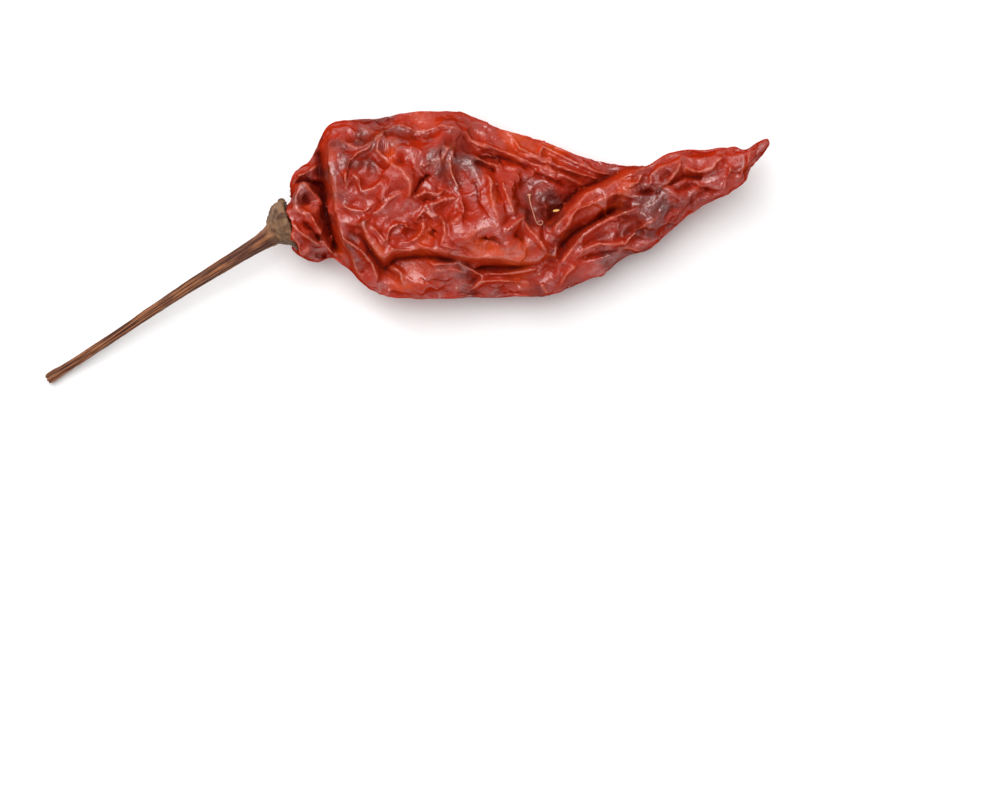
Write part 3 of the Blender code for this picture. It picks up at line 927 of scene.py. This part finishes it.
# %% Geometry group: ribbed sweep
nodes, given, result = new_group(
    "ribbed_sweep", "GeometryNodeTree",
    inputs=[
        ("Line", "Geometry", None), ("Rings", "Int", 240), ("Sides", "Int", 64), ("Radius", "Float", 0.001),
        ("Ribs", "Int", 7), ("Rib depth", "Float", 0.0), ("Twist", "Float", 0.0),
        ("Fibre depth", "Float", 0.0), ("Knobble depth", "Float", 0.0), ("Finish", "Material", None),
    ],
    outputs=[("Sweep", "Geometry", None)],
)
line = nodes.first("GeometryNodeMeshToCurve", {0: given["Line"]})
line = nodes.first("GeometryNodeCurveSplineType", {0: line}, spline_type="CATMULL_ROM")
line = nodes.first("GeometryNodeResampleCurve", {"Curve": line, "Count": given["Rings"]})
share = nodes.add("GeometryNodeSplineParameter").outputs["Factor"]
line = nodes.store(line, "along", share)

# %% [markdown]
# ## How thick the stem is along its length
# The stem flares into the calyx, thins quickly, and swells a little where it was cut. A Float Curve
# node draws this as one smooth line of shares, from 0 at the pod to 1 at the cut end, and a single
# radius input scales it.

# %% The radius along the line, as a curve of shares
STEM_PROFILE = [
    (0.0, 0.80), (0.010, 0.88), (0.022, 0.84), (0.04, 0.66), (0.062, 0.48), (0.09, 0.34), (0.125, 0.275),
    (0.19, 0.235), (0.33, 0.20), (0.45, 0.178), (0.6, 0.158), (0.8, 0.145), (0.935, 0.145), (0.96, 0.172),
    (0.988, 0.176), (1.0, 0.14),
]
profile_curve = nodes.add("ShaderNodeFloatCurve", {"Value": share})
knots = profile_curve.mapping.curves[0].points
knots[0].location, knots[-1].location = STEM_PROFILE[0], STEM_PROFILE[-1]
for knot in STEM_PROFILE[1:-1]:
    knots.new(*knot)
for knot in knots:
    knot.handle_type = "AUTO_CLAMPED"
profile_curve.mapping.update()
radius = nodes.times(profile_curve.outputs[0], given["Radius"])

# %% [markdown]
# ## Sweep the circle
# Curve to Mesh carries the circle along the line and fills both ends. Two attributes, stored before
# the sweep, say how far along and how far around each point lies. From them comes `fibre`, a
# position that follows the stem, so that any noise looked up there runs along the stem.

# %% Sweep a circle, and remember where each point came from
circle = nodes.first("GeometryNodeCurvePrimitiveCircle", {"Resolution": given["Sides"], "Radius": 1.0})
around = nodes.add("GeometryNodeSplineParameter").outputs["Factor"]
circle = nodes.store(circle, "around", around)
sweep = nodes.first(
    "GeometryNodeCurveToMesh",
    {"Curve": line, "Profile Curve": circle, "Scale": radius, "Fill Caps": True},
)
along = nodes.first("GeometryNodeInputNamedAttribute", {"Name": "along"}, data_type="FLOAT")
around = nodes.first("GeometryNodeInputNamedAttribute", {"Name": "around"}, data_type="FLOAT")
turned = nodes.plus(around, nodes.times(along, given["Twist"]))
angle = nodes.times(turned, 2 * np.pi)
fibre = nodes.first(
    "ShaderNodeCombineXYZ",
    {0: nodes.math("COSINE", angle), 1: nodes.math("SINE", angle), 2: nodes.times(along, 2.0)},
)
sweep = nodes.store(sweep, "fibre", fibre, "FLOAT_VECTOR")

# %% [markdown]
# ## Ribs, fibres and knobbles
# As a stem dries its soft tissue sinks between the tough strands. A cosine around the stem gives
# the ribs, noise along the fibres gives the fine grooves, and noise in space gives the knobbles,
# which fade out where the calyx ends. Their sum moves each point along its normal.

# %% Cut ribs, fibres and knobbles into it
rib = nodes.math("COSINE", nodes.times(angle, given["Ribs"]))
fade = nodes.remap(along, 0.0, 0.12, 0.4, 1.0)
height = nodes.times(nodes.times(rib, given["Rib depth"]), fade)
fibres = nodes.remap(nodes.clouds(fibre, 3.2, 4.0), 0.3, 0.7, -1.0, 1.0)
height = nodes.plus(height, nodes.times(fibres, given["Fibre depth"]))
position = nodes.first("GeometryNodeInputPosition")
knobbles = nodes.remap(nodes.clouds(position, 900.0, 3.0), 0.3, 0.7, -1.0, 1.0)
on_calyx = nodes.remap(along, 0.13, 0.04)
knobbles = nodes.times(nodes.times(knobbles, on_calyx), given["Knobble depth"])
height = nodes.plus(height, knobbles)
normal = nodes.first("GeometryNodeInputNormal")
offset = nodes.vector_math("SCALE", normal, height)
sweep = nodes.first("GeometryNodeSetPosition", {"Geometry": sweep, "Offset": offset})
sweep = nodes.first("GeometryNodeSetShadeSmooth", {0: sweep})
nodes.feed(result["Sweep"], nodes.finished(sweep, given["Finish"]))
RIBBED_SWEEP = nodes.tree
print("ribbed_sweep:", len(RIBBED_SWEEP.nodes), "nodes")

# %% [markdown]
# ## Growing a piece from a group
# A group's inputs are set on the modifier by their identifiers, before it is first evaluated. Then
# the result is kept as a plain mesh and the modifier is removed, so that nothing changes later.

# %% Run a geometry group on a line of points
def grow(name, tree, mesh, inputs):
    """A new object made by a geometry group from mesh, with its modifier applied."""
    made = place(name, mesh)
    modifier = made.modifiers.new(name, "NODES")
    modifier.node_group = tree
    sockets = {item.name: item.identifier for item in tree.interface.items_tree if item.in_out == "INPUT"}
    for input_name, value in inputs.items():
        modifier[sockets[input_name]] = value
    applied(made)
    return made


def line_mesh(name, line):
    """A mesh that is only a line, through points in millimetres."""
    mesh = bpy.data.meshes.new(name)
    points = [[c * MM for c in point] for point in line]
    mesh.from_pydata(points, [(i, i + 1) for i in range(len(line) - 1)], [])
    return mesh

# %% [markdown]
# ## The stem itself
# The line starts inside the calyx, leaves the neck at a slant and sinks until the cut end nearly
# touches the surface. The points lie closer together where it bends most.

# %% The stem
STEM_LINE = [
    (-15.25, 3.15, 6.84), (-16.15, 2.80, 6.73), (-17.05, 2.25, 6.58), (-18.1, 1.50, 6.38),
    (-19.4, 0.66, 6.10), (-21.3, -0.46, 5.75), (-25.3, -2.88, 5.02), (-28.9, -5.02, 4.38),
    (-34.0, -8.34, 3.42), (-39.7, -12.10, 2.34), (-44.8, -15.35, 1.42), (-47.6, -17.10, 0.95),
    (-48.7, -17.82, 0.80),
]
stem = grow("stem_skin", RIBBED_SWEEP, line_mesh("stem_line", STEM_LINE), {
    "Rings": 260, "Sides": 72, "Radius": 4.0 * MM, "Ribs": 6, "Rib depth": 0.07 * MM, "Twist": 0.12,
    "Fibre depth": 0.065 * MM, "Knobble depth": 0.25 * MM, "Finish": stem_material,
})
stem_points = get_points(stem.data)
print("stem from", stem_points.min(0).round(2), "to", stem_points.max(0).round(2))
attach(stem, "root")
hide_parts("stem_and_calyx")

# %% [markdown]
# ## A torn fibre and a few flecks
# Small things stuck to the skin give it scale. One pale fibre, torn from the flesh, lies over a
# hollow and curls at its end. It uses the same sweep as the stem, laid on the skin by looking down
# from above at each of its points. The flecks are scattered by a second geometry group.

# %% The torn fibre
skin_tree = BVHTree.FromObject(pod, bpy.context.evaluated_depsgraph_get())


def on_skin(x, y, lift):
    """The point of the skin straight below (x, y), raised by lift, in millimetres."""
    hit = skin_tree.ray_cast(Vector((x * MM, y * MM, 0.05)), Vector((0, 0, -1)))[0]
    return (x, y, hit.z / MM + lift)


FIBRE_LINE = [
    (16.4, 6.9, 0.15), (16.5, 5.9, 0.10), (16.8, 4.8, 0.12), (17.1, 3.8, 0.15), (17.4, 3.0, 0.25),
    (17.9, 2.7, 0.35), (18.2, 3.0, 0.35), (18.0, 3.3, 0.30), (17.5, 3.1, 0.25),
]
fibre_material = plain_material("torn_fibre", (0.62, 0.27, 0.17), 0.6)
fibre = grow("torn_fibre", RIBBED_SWEEP, line_mesh("fibre_line", [on_skin(*p) for p in FIBRE_LINE]), {
    "Rings": 60, "Sides": 8, "Radius": 0.32 * MM, "Ribs": 2, "Rib depth": 0.01 * MM, "Twist": 2.0,
    "Fibre depth": 0.01 * MM, "Knobble depth": 0.0, "Finish": fibre_material,
})
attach(fibre, "root")

# %% [markdown]
# ## A scrap of seed coat
# When a pod is handled, papery bits of seed coat stick to the skin. One yellow scrap lies in the
# hollow beside the fold. It is a sphere pressed flat and curled, which keeps it closed.

# %% A scrap of seed coat
scrap_material = plain_material("seed_scrap", (0.80, 0.42, 0.10), 0.5)
editing = bmesh.new()
bmesh.ops.create_icosphere(editing, subdivisions=3, radius=1.0)
scrap_centre = Vector(on_skin(20.1, 4.7, 0.12)) * MM
for point in editing.verts:
    x, y, z = point.co
    curl = 0.4 * x**2
    point.co = scrap_centre + Vector((0.55 * x, 0.22 * y - 0.1 * curl, 0.08 * z + 0.3 * curl)) * MM
scrap_mesh = bpy.data.meshes.new("seed_scrap")
editing.to_mesh(scrap_mesh)
editing.free()
scrap_mesh.materials.append(scrap_material)
scrap_mesh.shade_smooth()
scrap = place("seed_scrap", scrap_mesh)
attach(scrap, "root")

# %% [markdown]
# ## Scattered flecks
# The flecks of dust and pith have no order, so their places are random but fixed by a seed. Points
# are spread over the skin's faces, and each gets a small sphere, turned to the skin and squashed.

# %% Geometry group: flecks scattered on a skin
nodes, given, result = new_group(
    "scattered_flecks", "GeometryNodeTree",
    inputs=[
        ("Skin", "Geometry", None), ("Density", "Float", 10000.0), ("Size", "Float", 0.0001),
        ("Seed", "Int", 4), ("Finish", "Material", None),
    ],
    outputs=[("Flecks", "Geometry", None)],
)
spread = nodes.add(
    "GeometryNodeDistributePointsOnFaces",
    {"Mesh": given["Skin"], "Density": given["Density"], "Seed": given["Seed"]},
).outputs
fleck = nodes.first("GeometryNodeMeshIcoSphere", {"Radius": given["Size"], "Subdivisions": 2})
least, most = (0.4, 0.3, 0.15), (1.4, 1.0, 0.35)
sizes = nodes.first("FunctionNodeRandomValue", {0: least, 1: most}, data_type="FLOAT_VECTOR")
flecks = nodes.first("GeometryNodeInstanceOnPoints", {
    "Points": spread["Points"], "Instance": fleck, "Rotation": spread["Rotation"], "Scale": sizes,
})
nodes.feed(result["Flecks"], nodes.finished(flecks, given["Finish"]))
SCATTERED_FLECKS = nodes.tree

# %% [markdown]
# ## The flecks themselves
# They are about a tenth of a millimetre in radius, and few. They should be noticed late, as a break
# in the shine. The group runs on a copy of the finished skin, whose own points it doesn't keep.

# %% The flecks
fleck_material = plain_material("pale_fleck", (0.62, 0.36, 0.24), 0.7)
flecks = grow("flecks", SCATTERED_FLECKS, pod_mesh.copy(), {
    "Density": 15000.0, "Size": 0.11 * MM, "Seed": 4, "Finish": fleck_material,
})
flecks.data.shade_smooth()
print("flecks, in triangles:", len(flecks.data.polygons))
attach(flecks, "root")

# %% [markdown]
# ## A plain pale surface
# The pepper lies on plain matte white, which throws some light back under its sides.

# %% Floor
floor_mesh = bpy.data.meshes.new("floor")
floor_mesh.from_pydata([(-2, -2, 0), (2, -2, 0), (2, 2, 0), (-2, 2, 0)], [], [(0, 1, 2, 3)])
floor = place("floor", floor_mesh)
floor_material = plain_material("white_paper", (0.96, 0.96, 0.96), 0.9)
floor_mesh.materials.append(floor_material)

# %% [markdown]
# ## Three soft lights
# Wax shows the light itself, so the lights are large. The softbox overhead makes the broad sheen,
# a smaller one behind and to the left gives the ridges their bright lines, and a weak one in front
# keeps the shadow on the surface pale. The even world light fills the deepest folds.

# %% Lights
WORLD_LIGHT = 0.32


def softbox(name, position, size, watts):
    light = bpy.data.lights.new(name, "AREA")
    light.shape = "RECTANGLE"
    light.size, light.size_y = size
    light.energy = watts
    made = place(name, light)
    made.location = position
    made.rotation_euler = (-Vector(position)).to_track_quat("-Z", "Y").to_euler()


softbox("overhead_softbox", (-0.08, 0.13, 0.52), (0.46, 0.40), 2.7)
softbox("key", (-0.30, 0.42, 0.46), (0.22, 0.22), 1.2)
softbox("fill", (0.22, -0.46, 0.20), (0.5, 0.2), 0.6)
world = bpy.data.worlds.new("studio")
world.use_nodes = True
background = world.node_tree.nodes["Background"].inputs
background["Color"].default_value = (1, 1, 1, 1)
background["Strength"].default_value = WORLD_LIGHT
bpy.context.scene.world = world
bpy.context.scene.view_settings.view_transform = "Standard"

# %% [markdown]
# ## The camera
# The camera looks straight down from 60 cm. Its lens is worked out from the width of the view, so
# that one number sets how large the pepper appears.

# %% Camera
VIEW_WIDTH = 0.134
CAMERA_HEIGHT = 0.60
VIEW_CENTRE = (0.0125, -0.0206)
MIDDLE_OF_POD = 0.007

camera_data = bpy.data.cameras.new("camera")
camera_data.sensor_width = 36
camera_data.lens = camera_data.sensor_width * CAMERA_HEIGHT / VIEW_WIDTH
camera = place("camera", camera_data)
camera.location = (*VIEW_CENTRE, CAMERA_HEIGHT + MIDDLE_OF_POD)
bpy.context.scene.camera = camera
